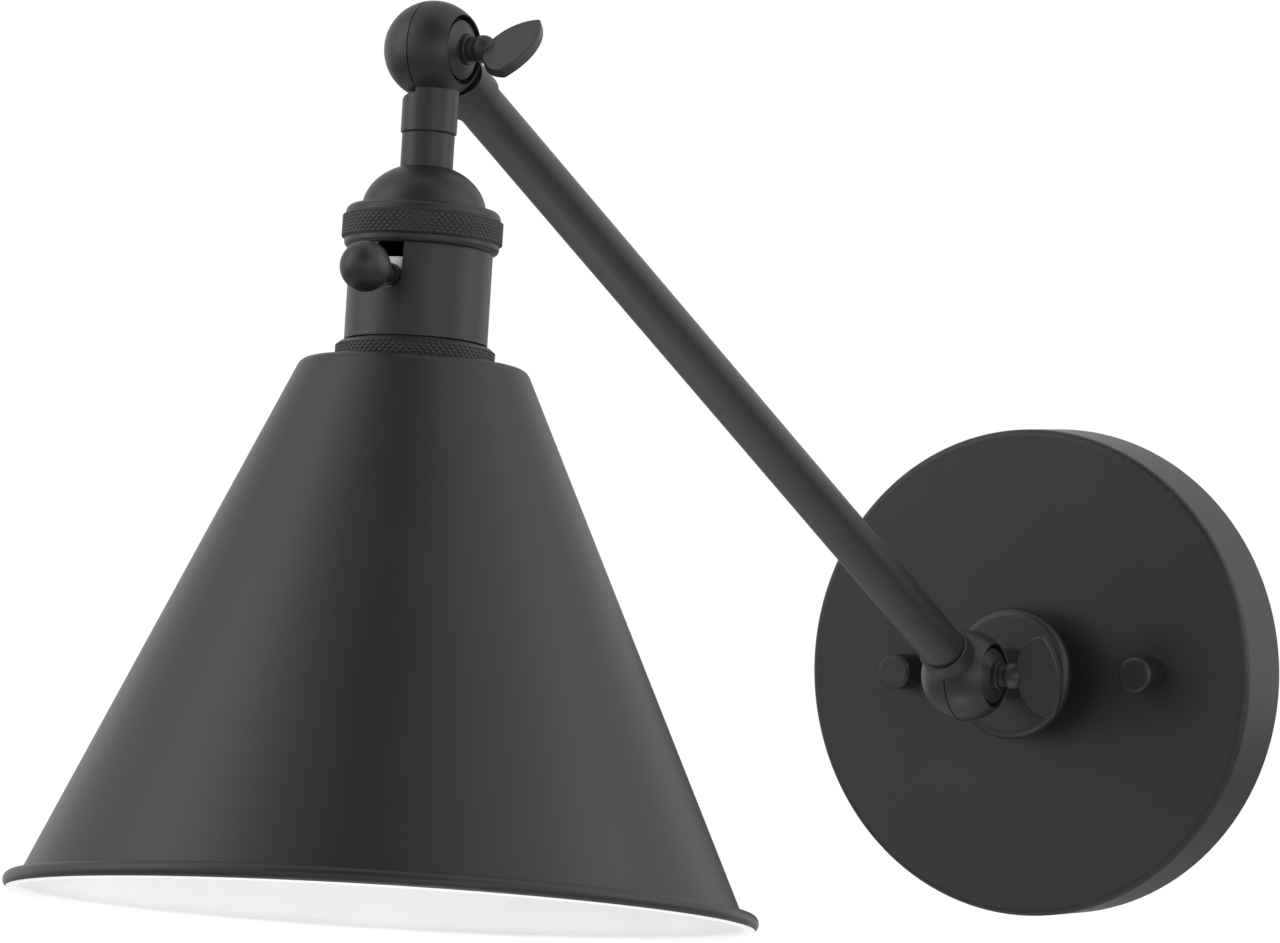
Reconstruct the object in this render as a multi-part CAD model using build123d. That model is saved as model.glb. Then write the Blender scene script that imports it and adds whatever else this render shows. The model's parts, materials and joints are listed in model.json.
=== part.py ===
from build123d import *
import math
import os

# Swing arm wall sconce. Millimetres, +Z up. The wall is the plane Y = 0, and the
# sconce stands out from it along -Y. The origin is the centre of the wall plate.

# Wall plate, its bracket and the studs that hold it
PLATE_RADIUS = 63.5
PLATE_DEPTH = 19.0
PLATE_EDGE_ROUND = 1.6
PLATE_SHEET = 1.4
PLATE_HOLE_RADIUS = 6.0
PLATE_INNER_ROUND = 0.4
STUD_SPACING = 70.0
STUD_RADIUS = 2.08
STUD_HOLE_RADIUS = 2.4
STUD_REACH = 24.5
BRACKET_LENGTH = 112.0
BRACKET_WIDTH = 20.0
BRACKET_THICKNESS = 2.0
BRACKET_CENTRE_HOLE_RADIUS = 7.0
BRACKET_CORNER_ROUND = 4.0
BOX_SCREW_SPACING = 88.9
BOX_SLOT_LENGTH = 12.0
BOX_SLOT_HALF_WIDTH = 2.4
GROUND_SCREW_X = -18.0
GROUND_SCREW_RADIUS = 2.4
GROUND_FLANGE_RADIUS = 5.4
GROUND_FLANGE_THICKNESS = 0.8
GROUND_HEAD_CIRCUMRADIUS = 4.4
GROUND_HEAD_THICKNESS = 2.8
GROUND_SLOT_WIDTH = 1.0
GROUND_SLOT_DEPTH = 0.5
CAP_NUT_RADIUS = 4.6
CAP_NUT_LENGTH = 8.8
CAP_NUT_CHAMFER = 0.7
HEX_NUT_THICKNESS = 2.6
HEX_NUT_CIRCUMRADIUS = 4.6

# Hub that turns on the wall plate
BUSHING_RADIUS = 10.0
BUSHING_FLANGE_RADIUS = 12.5
BUSHING_FLANGE_THICKNESS = 2.0
BUSHING_FLANGE_BACK = PLATE_DEPTH - PLATE_SHEET - BUSHING_FLANGE_THICKNESS
HUB_DISC_BACK = 27.0
HUB_DISC_FRONT = 30.4
HUB_DISC_RADIUS = 17.1
HUB_DISC_BACK_ROUND = 0.8
HUB_DISC_FRONT_ROUND = 2.2
HUB_WASHER_RADIUS = 9.0
HUB_WASHER_THICKNESS = 1.2
HUB_NUT_CIRCUMRADIUS = 8.0
HUB_NUT_THICKNESS = 3.5
NIPPLE_RADIUS = 4.8
NIPPLE_BORE_RADIUS = 3.4
NIPPLE_BACK = 5.0
RUNNING_CLEARANCE = 0.05

# The two ball knuckles
BALL_OUT = 54.2
ARM_LENGTH = 315.4
ARM_ELEVATION = 28.88
SHADE_TILT = 7.1
HUB_NECK_END = BALL_OUT - HUB_DISC_FRONT
HUB_NECK_SOCKET = 17.0
BALL_RADIUS = 11.7
NECK_RADIUS = 6.6
NECK_BORE_RADIUS = 3.0
NECK_END_ROUND = 0.35
KNUCKLE_CUT_RADIUS = 12.6
SEAM_X = -0.6
SEAM_GAP = 0.3
RECESS_RADIUS = 8.0
RECESS_FLOOR = 5.5
RECESS_MOUTH = 8.05
RECESS_MOUTH_FLARE = 0.7
RECESS_MOUTH_ROUND = 1.2
CHAMBER_INNER_RADIUS = 3.8
CHAMBER_OUTER_RADIUS = 7.4
CHAMBER_DEPTH = 4.0
SCREW_RADIUS = 2.5
SCREW_END = -7.0
SCREW_END_GAP = 0.5
FRICTION_WASHER_RADIUS = 11.2
FRICTION_WASHER_BORE_RADIUS = 7.8

# Wing screws and the dish washers under them, as distances along X from the ball's centre
WASHER_RADIUS = 7.1
WASHER_RIM = 7.7
WASHER_CROWN = 9.0
WASHER_CROWN_RADIUS = 4.1
WASHER_RIM_ROUND = 0.4
WASHER_CROWN_ROUND = 1.5
COLLAR_RADIUS = 3.75
COLLAR_THICKNESS = 1.2
NUB_NECK_RADIUS = 2.9
NUB_CENTRE = 13.4
NUB_RADIUS = 3.35
WING_TIP_ROUND = 0.8
WING_EDGE_ROUND = 0.5
WING_HALF_SPAN = 11.0
WING_CENTRE = 23.9
WING_INNER_REACH = 9.2
WING_OUTER_REACH = 3.2
WING_THICKNESS = 2.7
LOWER_WING_ANGLE = 106.0
UPPER_WING_ANGLE = 34.0

# Arm tube
TUBE_RADIUS = 5.8
TUBE_BORE_RADIUS = 4.5
SPIGOT_LENGTH = 9.0
LOWER_NECK_END = 15.5
UPPER_NECK_END = 22.0

# Head: distances down the shade's axis from the upper ball, and radii about that axis
HEAD_NECK_END = 19.9
HEAD_NIPPLE_START = 13.5
HEAD_NIPPLE_END = 35.0
STEM_RADIUS = 6.2
STEM_GROOVE = 0.4
DOME_TOP = 28.1
DOME_INNER_TOP = 29.6
DOME_BASE = 38.3
DOME_RADIUS = 14.6
DOME_HEIGHT = 11.3
DOME_SHEET = 1.0
CAP_LOCK_NUT_CIRCUMRADIUS = 6.9
CAP_LOCK_NUT_THICKNESS = 3.0
CAP_FLANGE_RADIUS = 16.6
CAP_RING_TOP = 37.6
CAP_RING_BORE_RADIUS = 14.7
CAP_RING_BAND_RADIUS = 18.2
CAP_RING_TOP_ROUND = 1.9
CAP_RING_BASE_ROUND = 1.2
CAP_RING_KNURL_RADIUS = 18.9
CAP_RING_KNURL_TOP = 40.3
CAP_RING_KNURL_BASE = 45.3
CAP_RING_BASE = 47.7
SHELL_RADIUS = 16.84
SHELL_SHEET = 0.9
SHELL_TOP = 39.2
SHELL_SHOULDER = 69.6
SPIGOT_RADIUS = 16.0
SPIGOT_BASE = 86.0
LINER_THICKNESS = 0.6
LINER_SLOT_MARGIN = 0.3
KNOB_AZIMUTH = 4.5
KNOB_DROP = 55.3
KNOB_REACH = 29.5
KNOB_RADIUS = 5.95
KNOB_STEM_RADIUS = 2.0
KNOB_BUSHING_RADIUS = 2.65
KNOB_BUSHING_START = 14.4
KNOB_BUSHING_END = 17.4
KNOB_SHAFT_RADIUS = 1.5
KNOB_SHAFT_START = 8.0
KNOB_SHAFT_END_GAP = 0.2
KNOB_STEM_START = 15.6
TERMINAL_RADIUS = 2.8
TERMINAL_HEIGHT = 2.0
TERMINAL_X = 9.0
TERMINAL_Y = -5.0
TERMINAL_SLOT_WIDTH = 0.8
TERMINAL_SLOT_DEPTH = 0.5
SLOT_TOP_HALF_WIDTH = 3.7
SLOT_RADIUS = 3.1
SLOT_CUT_REACH = 4.0
HOUSING_RADIUS = 15.2
HOUSING_TOP = 51.0
HOUSING_BASE = 60.5
LAMP_BODY_RADIUS = 14.8
LAMP_BODY_BORE_RADIUS = 13.6
LAMP_BODY_FLOOR = 63.0
LAMP_BODY_MOUTH = 88.0
LAMP_THREAD_RADIUS = 13.1
LAMP_THREAD_TOP = 65.0
LAMP_THREAD_MOUTH = 87.0
CONTACT_RADIUS = 4.5
CONTACT_TIP_RADIUS = 2.6
CONTACT_THICKNESS = 0.8

# Shade and the two rings that clamp it. The cone's outer radius grows by SHADE_SLOPE for each
# millimetre down the axis. Carried up to the height of the ball it is SHADE_BALL_RADIUS, which
# is below zero because the cone's tip lies lower than the ball.
SHADE_TOP = 74.55
SHADE_SHEET = 1.0
SHADE_SLOPE = 0.4639
SHADE_BALL_RADIUS = -8.08
SHADE_CORNER_ROUND = 2.8
BEAD_CENTRE_RADIUS = 86.2
BEAD_CENTRE_DROP = 200.8
BEAD_RADIUS = 2.0
SHEET_PAST_BEAD_CENTRE = 0.4
SHADE_RING_TOP = 70.1
SHADE_RING_BEVEL = 0.9
SHADE_RING_RADIUS = 18.8
RING_NUT_RADIUS = 20.0
RING_NUT_THICKNESS = 3.0
RING_NUT_ROUND = 0.6

# Small round where a turned edge is only broken
EDGE_BREAK = 0.3

# How far one form runs into another, so that the two fuse or cut right through
OVERLAP = 1.0

# Wires
WIRE_RADIUS = 1.15
WIRE_OFFSET = 1.6
WIRE_START = 13.0

# Places and frames. Each frame's local +X is the row's +X.
ELEVATION = math.radians(ARM_ELEVATION)
TILT = math.radians(SHADE_TILT)
LOWER_BALL = (0, -BALL_OUT, 0)
UPPER_BALL = (
    0,
    -BALL_OUT - ARM_LENGTH * math.cos(ELEVATION),
    ARM_LENGTH * math.sin(ELEVATION),
)
# local +Z points out of the wall
HUB = Plane(origin=(0, 0, 0), x_dir=(1, 0, 0), z_dir=(0, -1, 0))
# local +Z runs from the lower ball to the upper one
ARM = Plane(
    origin=LOWER_BALL,
    x_dir=(1, 0, 0),
    z_dir=(0, -math.cos(ELEVATION), math.sin(ELEVATION)),
)
# local +Z runs from the upper ball back down the arm
ARM_DOWN = Plane(
    origin=UPPER_BALL,
    x_dir=(1, 0, 0),
    z_dir=(0, math.cos(ELEVATION), -math.sin(ELEVATION)),
)
# local +Z runs from the upper ball down the shade's axis, local +Y points off the wall
HEAD = Plane(
    origin=UPPER_BALL,
    x_dir=(1, 0, 0),
    z_dir=(0, -math.sin(TILT), -math.cos(TILT)),
)
# local +Z runs from the lower ball to the wall
HUB_NECK = Plane(origin=LOWER_BALL, x_dir=(1, 0, 0), z_dir=(0, 1, 0))

ON_BASE = (Align.CENTER, Align.CENTER, Align.MIN)


def disc(radius, start, end):
    """Solid cylinder about the local Z axis, from one height to another."""
    return Pos(0, 0, start) * Cylinder(radius, end - start, align=ON_BASE)


def sleeve(outer_radius, inner_radius, start, end):
    """Cylinder with a concentric bore."""
    return disc(outer_radius, start, end) - disc(inner_radius, start, end)


def hexagon(circumradius, bore_radius, start, end):
    """Hexagonal nut about the local Z axis."""
    nut = Pos(0, 0, start) * extrude(RegularPolygon(circumradius, 6), end - start)
    if bore_radius:
        nut -= disc(bore_radius, start, end)
    return nut


def turned(*corners):
    """Body of revolution about Z. A corner is (radius, height) or (radius, height, round)."""
    points = [(corner[0], corner[1]) for corner in corners]
    rounds = [corner[2] if len(corner) > 2 else 0 for corner in corners]
    if any(rounds):
        outline = FilletPolyline(*points, radius=rounds, close=True)
    else:
        outline = Polyline(*points, close=True)
    return revolve(Plane.XZ * make_face(outline), Axis.Z)


def along_x(shape, centre):
    """Turn a body made about Z so that its axis is X, through the given point."""
    return Pos(*centre) * (Rot(0, 90, 0) * shape)


def beyond(x_limit, positive):
    """Half space as a big box: all of x above the limit, or all below it."""
    reach = 100.0
    centre = x_limit + reach / 2 if positive else x_limit - reach / 2
    return Pos(centre, 0, 0) * Box(reach, reach, reach)


def wires(start, end):
    """Two insulated conductors side by side along the local Z axis."""
    pair = [Pos(side * WIRE_OFFSET, 0, 0) * disc(WIRE_RADIUS, start, end) for side in (-1, 1)]
    return Compound(children=pair)


# Wall plate and mounting

def backplate():
    inner = PLATE_RADIUS - PLATE_SHEET
    face_back = PLATE_DEPTH - PLATE_SHEET
    dish = turned(
        (PLATE_HOLE_RADIUS, face_back),
        (inner, face_back, PLATE_INNER_ROUND),
        (inner, 0),
        (PLATE_RADIUS, 0),
        (PLATE_RADIUS, PLATE_DEPTH, PLATE_EDGE_ROUND),
        (PLATE_HOLE_RADIUS, PLATE_DEPTH),
    )
    for side in (-1, 1):
        hole = Pos(side * STUD_SPACING / 2, 0, 0) * disc(STUD_HOLE_RADIUS, 0, PLATE_DEPTH)
        dish -= hole
    return HUB * dish


def crossbar():
    outline = RectangleRounded(BRACKET_LENGTH, BRACKET_WIDTH, BRACKET_CORNER_ROUND)
    strip = extrude(outline, BRACKET_THICKNESS)
    strip -= disc(BRACKET_CENTRE_HOLE_RADIUS, 0, BRACKET_THICKNESS)
    for side in (-1, 1):
        slot = SlotOverall(BOX_SLOT_LENGTH, 2 * BOX_SLOT_HALF_WIDTH)
        strip -= Pos(side * BOX_SCREW_SPACING / 2, 0, 0) * extrude(slot, BRACKET_THICKNESS)
        strip -= Pos(side * STUD_SPACING / 2, 0, 0) * disc(STUD_RADIUS, 0, BRACKET_THICKNESS)
    strip -= Pos(GROUND_SCREW_X, 0, 0) * disc(GROUND_SCREW_RADIUS, 0, BRACKET_THICKNESS)
    return HUB * strip


def at_both_studs(shape):
    """One copy of a body at each of the two studs."""
    copies = [HUB * (Pos(side * STUD_SPACING / 2, 0, 0) * shape) for side in (-1, 1)]
    return Compound(children=copies)


def mounting_studs():
    return at_both_studs(disc(STUD_RADIUS, 0, STUD_REACH))


def stud_lock_nuts():
    top = BRACKET_THICKNESS + HEX_NUT_THICKNESS
    return at_both_studs(hexagon(HEX_NUT_CIRCUMRADIUS, STUD_RADIUS, BRACKET_THICKNESS, top))


def cap_nuts():
    face = PLATE_DEPTH + CAP_NUT_LENGTH
    nut = turned(
        (0, PLATE_DEPTH),
        (CAP_NUT_RADIUS, PLATE_DEPTH),
        (CAP_NUT_RADIUS, face - CAP_NUT_CHAMFER, EDGE_BREAK),
        (CAP_NUT_RADIUS - CAP_NUT_CHAMFER, face, EDGE_BREAK),
        (0, face),
    )
    return at_both_studs(nut - disc(STUD_RADIUS, PLATE_DEPTH, STUD_REACH))


def ground_screw():
    """Hexagonal screw with a washer face and a driver slot."""
    back = BRACKET_THICKNESS
    screw = disc(GROUND_SCREW_RADIUS, 0, back)
    screw += disc(GROUND_FLANGE_RADIUS, back, back + GROUND_FLANGE_THICKNESS)
    screw += hexagon(GROUND_HEAD_CIRCUMRADIUS, 0, back, back + GROUND_HEAD_THICKNESS)
    slot = Box(2 * GROUND_HEAD_CIRCUMRADIUS, GROUND_SLOT_WIDTH, 2 * GROUND_SLOT_DEPTH)
    screw -= Pos(0, 0, back + GROUND_HEAD_THICKNESS) * slot
    return HUB * (Pos(GROUND_SCREW_X, 0, 0) * screw)


def hub_bushing():
    """Flanged sleeve that stands the hub off the plate and carries its swivel."""
    bore = NIPPLE_RADIUS + RUNNING_CLEARANCE
    return HUB * turned(
        (bore, BUSHING_FLANGE_BACK),
        (BUSHING_FLANGE_RADIUS, BUSHING_FLANGE_BACK, EDGE_BREAK),
        (BUSHING_FLANGE_RADIUS, PLATE_DEPTH - PLATE_SHEET),
        (PLATE_HOLE_RADIUS, PLATE_DEPTH - PLATE_SHEET),
        (PLATE_HOLE_RADIUS, PLATE_DEPTH),
        (BUSHING_RADIUS, PLATE_DEPTH),
        (BUSHING_RADIUS, HUB_DISC_BACK),
        (bore, HUB_DISC_BACK),
    )


# Hub

def hub_disc():
    return HUB * turned(
        (NIPPLE_RADIUS, HUB_DISC_BACK),
        (HUB_DISC_RADIUS, HUB_DISC_BACK, HUB_DISC_BACK_ROUND),
        (HUB_DISC_RADIUS, HUB_DISC_FRONT, HUB_DISC_FRONT_ROUND),
        (NIPPLE_RADIUS, HUB_DISC_FRONT),
    )


def hub_nipple():
    return HUB * sleeve(NIPPLE_RADIUS, NIPPLE_BORE_RADIUS, NIPPLE_BACK, BALL_OUT - HUB_NECK_SOCKET)


def hub_washer():
    back = BUSHING_FLANGE_BACK - HUB_WASHER_THICKNESS
    return HUB * sleeve(HUB_WASHER_RADIUS, NIPPLE_RADIUS, back, BUSHING_FLANGE_BACK)


def hub_lock_nut():
    front = BUSHING_FLANGE_BACK - HUB_WASHER_THICKNESS
    return HUB * hexagon(HUB_NUT_CIRCUMRADIUS, NIPPLE_RADIUS, front - HUB_NUT_THICKNESS, front)


# Ball knuckles

def recess():
    """Room for the dish washer, with a mouth that flares where it breaks the ball."""
    return turned(
        (0, RECESS_FLOOR),
        (RECESS_RADIUS, RECESS_FLOOR),
        (RECESS_RADIUS, RECESS_MOUTH, RECESS_MOUTH_ROUND),
        (RECESS_RADIUS + RECESS_MOUTH_FLARE, RECESS_MOUTH + RECESS_MOUTH_FLARE),
        (RECESS_RADIUS + RECESS_MOUTH_FLARE, BALL_RADIUS),
        (0, BALL_RADIUS),
    )


def knuckle_half(frame, screw_side, neck_end, socket_start=None, spigot_end=None):
    """Half ball with its neck, which runs along the frame's +Z axis.

    The half on the screw side is on +X and has the recess for the dish washer. The
    other half is on -X, and the wing screw is threaded into it. A neck takes either a
    nipple in a socket or a spigot that goes into the arm tube.
    """
    side = 1 if screw_side else -1
    seam = SEAM_X + side * SEAM_GAP / 2
    ball = Sphere(BALL_RADIUS) & beyond(seam, screw_side)
    room = Rot(0, 90, 0) * Cylinder(KNUCKLE_CUT_RADIUS, 4 * BALL_RADIUS)
    room &= beyond(seam, not screw_side)
    neck = turned(
        (0, 0),
        (NECK_RADIUS, 0),
        (NECK_RADIUS, neck_end, NECK_END_ROUND),
        (0, neck_end),
    )
    if spigot_end:
        neck += disc(TUBE_BORE_RADIUS, neck_end - OVERLAP, spigot_end)
    half = ball + (neck - room - Sphere(BALL_RADIUS - OVERLAP))
    half -= disc(NECK_BORE_RADIUS, CHAMBER_OUTER_RADIUS - 2 * OVERLAP, spigot_end or neck_end)
    if socket_start:
        half -= disc(NIPPLE_RADIUS, socket_start, neck_end)
    chamber_floor = seam + side * CHAMBER_DEPTH
    chamber = sleeve(
        CHAMBER_OUTER_RADIUS,
        CHAMBER_INNER_RADIUS,
        min(seam, chamber_floor),
        max(seam, chamber_floor),
    )
    half -= Rot(0, 90, 0) * chamber
    screw_hole_start = SEAM_X - OVERLAP if screw_side else SCREW_END - SCREW_END_GAP
    screw_hole = disc(SCREW_RADIUS + RUNNING_CLEARANCE, screw_hole_start, BALL_RADIUS)
    half -= Rot(0, 90, 0) * screw_hole
    if screw_side:
        half -= Rot(0, 90, 0) * recess()
    return frame * half


def friction_washers():
    """Thin ring in the seam of each ball, just inside its surface."""
    ring = sleeve(
        FRICTION_WASHER_RADIUS,
        FRICTION_WASHER_BORE_RADIUS,
        SEAM_X - SEAM_GAP / 2,
        SEAM_X + SEAM_GAP / 2,
    )
    return Compound(children=[along_x(ring, LOWER_BALL), along_x(ring, UPPER_BALL)])


def dish_washer(centre):
    washer = turned(
        (SCREW_RADIUS + RUNNING_CLEARANCE, RECESS_FLOOR),
        (WASHER_RADIUS, RECESS_FLOOR),
        (WASHER_RADIUS, WASHER_RIM, WASHER_RIM_ROUND),
        (WASHER_CROWN_RADIUS, WASHER_CROWN, WASHER_CROWN_ROUND),
        (SCREW_RADIUS + RUNNING_CLEARANCE, WASHER_CROWN),
    )
    return along_x(washer, centre)


def wing_screw(centre, wing_angle):
    """Screw about the X axis with a stepped collar, a small ball and a leaf-shaped wing."""
    collar_end = WASHER_CROWN + COLLAR_THICKNESS
    shank = turned(
        (0, SCREW_END),
        (SCREW_RADIUS, SCREW_END),
        (SCREW_RADIUS, WASHER_CROWN),
        (COLLAR_RADIUS, WASHER_CROWN),
        (COLLAR_RADIUS, collar_end, EDGE_BREAK),
        (NUB_NECK_RADIUS, collar_end),
        (NUB_NECK_RADIUS, NUB_CENTRE),
        (0, NUB_CENTRE),
    )
    nub = Pos(NUB_CENTRE, 0, 0) * Sphere(NUB_RADIUS)
    inner_side = EllipticalCenterArc(
        (WING_CENTRE, 0), WING_INNER_REACH, WING_HALF_SPAN, start_angle=90, arc_size=180
    )
    outer_side = ThreePointArc(
        (WING_CENTRE, -WING_HALF_SPAN),
        (WING_CENTRE + WING_OUTER_REACH, 0),
        (WING_CENTRE, WING_HALF_SPAN),
    )
    wing = extrude(make_face([inner_side, outer_side]), WING_THICKNESS / 2, both=True)
    wing = fillet(wing.edges().filter_by(Axis.Z), WING_TIP_ROUND)
    rims = wing.faces().filter_by(Axis.Z).edges()
    wing = fillet(rims, WING_EDGE_ROUND)
    screw = Rot(0, 90, 0) * shank + nub + wing
    return Pos(*centre) * (Rot(wing_angle, 0, 0) * screw)


# Arm

def arm_tube():
    end = ARM_LENGTH - UPPER_NECK_END
    return ARM * sleeve(TUBE_RADIUS, TUBE_BORE_RADIUS, LOWER_NECK_END, end)


# Head and socket

def head_stem():
    return HEAD * turned(
        (NIPPLE_RADIUS, HEAD_NECK_END),
        (STEM_RADIUS - STEM_GROOVE, HEAD_NECK_END),
        (STEM_RADIUS - STEM_GROOVE, HEAD_NECK_END + STEM_GROOVE),
        (STEM_RADIUS, HEAD_NECK_END + STEM_GROOVE),
        (STEM_RADIUS, DOME_TOP),
        (NIPPLE_RADIUS, DOME_TOP),
    )


def stem_nipple():
    return HEAD * sleeve(NIPPLE_RADIUS, NIPPLE_BORE_RADIUS, HEAD_NIPPLE_START, HEAD_NIPPLE_END)


def cap_lock_nut():
    base = DOME_INNER_TOP + CAP_LOCK_NUT_THICKNESS
    return HEAD * hexagon(CAP_LOCK_NUT_CIRCUMRADIUS, NIPPLE_RADIUS, DOME_INNER_TOP, base)


def dome_solid(radius, height, top):
    """Half ellipsoid standing on the dome's base plane, cut flat at the top."""
    reach = 2 * radius
    outline = Pos(0, DOME_BASE) * Ellipse(radius, height)
    kept = Pos(reach / 2, (top + DOME_BASE) / 2) * Rectangle(reach, DOME_BASE - top)
    return revolve(Plane.XZ * (outline & kept), Axis.Z)


def socket_cap():
    outer = dome_solid(DOME_RADIUS, DOME_HEIGHT, DOME_TOP)
    inner = dome_solid(DOME_RADIUS - DOME_SHEET, DOME_HEIGHT - DOME_SHEET, DOME_INNER_TOP)
    flange = sleeve(CAP_FLANGE_RADIUS, DOME_RADIUS - DOME_SHEET, DOME_BASE, SHELL_TOP)
    return HEAD * (outer - inner + flange - disc(NIPPLE_RADIUS, DOME_TOP, DOME_BASE))


def cap_ring():
    """Threaded ring that holds the cap on the shell, with a raised knurled band."""
    step = CAP_RING_KNURL_RADIUS - CAP_RING_BAND_RADIUS
    return HEAD * turned(
        (CAP_RING_BORE_RADIUS, CAP_RING_TOP),
        (CAP_RING_BAND_RADIUS, CAP_RING_TOP, CAP_RING_TOP_ROUND),
        (CAP_RING_BAND_RADIUS, CAP_RING_KNURL_TOP - step),
        (CAP_RING_KNURL_RADIUS, CAP_RING_KNURL_TOP),
        (CAP_RING_KNURL_RADIUS, CAP_RING_KNURL_BASE),
        (CAP_RING_BAND_RADIUS, CAP_RING_KNURL_BASE + step),
        (CAP_RING_BAND_RADIUS, CAP_RING_BASE, CAP_RING_BASE_ROUND),
        (SHELL_RADIUS, CAP_RING_BASE),
        (SHELL_RADIUS, DOME_BASE),
        (CAP_RING_BORE_RADIUS, DOME_BASE),
    )


def toward_knob(shape):
    """Turn a body made toward local +Y so that it points at the knob."""
    return Rot(0, 0, -KNOB_AZIMUTH) * shape


def knob_slot(margin):
    """Notch with a round end, open at the top, that the knob's stem slides down into."""
    top = CAP_RING_TOP
    radius = SLOT_RADIUS + margin
    taper = make_face(
        Polyline(
            (-SLOT_TOP_HALF_WIDTH - margin, top),
            (SLOT_TOP_HALF_WIDTH + margin, top),
            (radius, KNOB_DROP),
            (-radius, KNOB_DROP),
            close=True,
        )
    )
    outline = taper + Pos(0, KNOB_DROP) * Circle(radius)
    cut = extrude(Plane.XZ * outline, SLOT_CUT_REACH, both=True)
    return toward_knob(Pos(0, HOUSING_RADIUS, 0) * cut)


def socket_shell():
    """Outer sleeve of the socket, with a threaded spigot that goes through the shade."""
    body = turned(
        (SHELL_RADIUS - SHELL_SHEET, SHELL_TOP),
        (SHELL_RADIUS, SHELL_TOP),
        (SHELL_RADIUS, SHELL_SHOULDER, EDGE_BREAK),
        (SPIGOT_RADIUS, SHELL_SHOULDER),
        (SPIGOT_RADIUS, SPIGOT_BASE),
        (SPIGOT_RADIUS - SHELL_SHEET, SPIGOT_BASE),
        (SPIGOT_RADIUS - SHELL_SHEET, SHELL_SHOULDER - SHELL_SHEET),
        (SHELL_RADIUS - SHELL_SHEET, SHELL_SHOULDER - SHELL_SHEET),
    )
    return HEAD * (body - knob_slot(0))


def insulating_liner():
    outer = SHELL_RADIUS - SHELL_SHEET
    liner = sleeve(outer, outer - LINER_THICKNESS, SHELL_TOP, SHELL_SHOULDER - SHELL_SHEET)
    return HEAD * (liner - knob_slot(LINER_SLOT_MARGIN))


def radial_rod(radius, start, end):
    """Cylinder that points at the knob, between two distances from the shade's axis."""
    return toward_knob(Pos(0, 0, KNOB_DROP) * (Rot(-90, 0, 0) * disc(radius, start, end)))


def switch_housing():
    """Switch block, with a hole for the shaft and a seat for the bushing round it."""
    block = disc(HOUSING_RADIUS, HOUSING_TOP, HOUSING_BASE)
    shaft_radius = KNOB_SHAFT_RADIUS + RUNNING_CLEARANCE
    block -= radial_rod(shaft_radius, KNOB_SHAFT_START - KNOB_SHAFT_END_GAP, HOUSING_RADIUS)
    block -= radial_rod(KNOB_BUSHING_RADIUS, KNOB_BUSHING_START, HOUSING_RADIUS)
    return HEAD * block


def knob_bushing():
    """Small ring round the knob's stem, in the end of the shell's slot."""
    bore = KNOB_STEM_RADIUS + RUNNING_CLEARANCE
    ring = radial_rod(KNOB_BUSHING_RADIUS, KNOB_BUSHING_START, KNOB_BUSHING_END)
    ring -= radial_rod(bore, KNOB_BUSHING_START, KNOB_BUSHING_END)
    return HEAD * ring


def switch_shaft():
    return HEAD * radial_rod(KNOB_SHAFT_RADIUS, KNOB_SHAFT_START, KNOB_STEM_START)


def switch_knob():
    ball = toward_knob(Pos(0, KNOB_REACH, KNOB_DROP) * Sphere(KNOB_RADIUS))
    return HEAD * (ball + radial_rod(KNOB_STEM_RADIUS, KNOB_STEM_START, KNOB_REACH))


def terminal_screws():
    top = HOUSING_TOP - TERMINAL_HEIGHT
    head = disc(TERMINAL_RADIUS, top, HOUSING_TOP)
    slot = Box(2 * TERMINAL_RADIUS, TERMINAL_SLOT_WIDTH, 2 * TERMINAL_SLOT_DEPTH)
    head -= Pos(0, 0, top) * slot
    heads = [HEAD * (Pos(side * TERMINAL_X, TERMINAL_Y, 0) * head) for side in (-1, 1)]
    return Compound(children=heads)


def lamp_body():
    """Ceramic cup that the lamp screws into."""
    return HEAD * turned(
        (0, HOUSING_BASE),
        (LAMP_BODY_RADIUS, HOUSING_BASE),
        (LAMP_BODY_RADIUS, LAMP_BODY_MOUTH, EDGE_BREAK),
        (LAMP_BODY_BORE_RADIUS, LAMP_BODY_MOUTH, EDGE_BREAK),
        (LAMP_BODY_BORE_RADIUS, LAMP_BODY_FLOOR),
        (0, LAMP_BODY_FLOOR),
    )


def screw_shell():
    """Metal sleeve with the lamp's thread, here at the thread's crest."""
    return HEAD * sleeve(
        LAMP_BODY_BORE_RADIUS, LAMP_THREAD_RADIUS, LAMP_THREAD_TOP, LAMP_THREAD_MOUTH
    )


def centre_contact():
    step = LAMP_BODY_FLOOR + CONTACT_THICKNESS
    tip = step + CONTACT_THICKNESS
    return HEAD * turned(
        (0, LAMP_BODY_FLOOR),
        (CONTACT_RADIUS, LAMP_BODY_FLOOR),
        (CONTACT_RADIUS, step, EDGE_BREAK),
        (CONTACT_TIP_RADIUS, tip, EDGE_BREAK),
        (0, tip),
    )


# Shade

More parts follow.
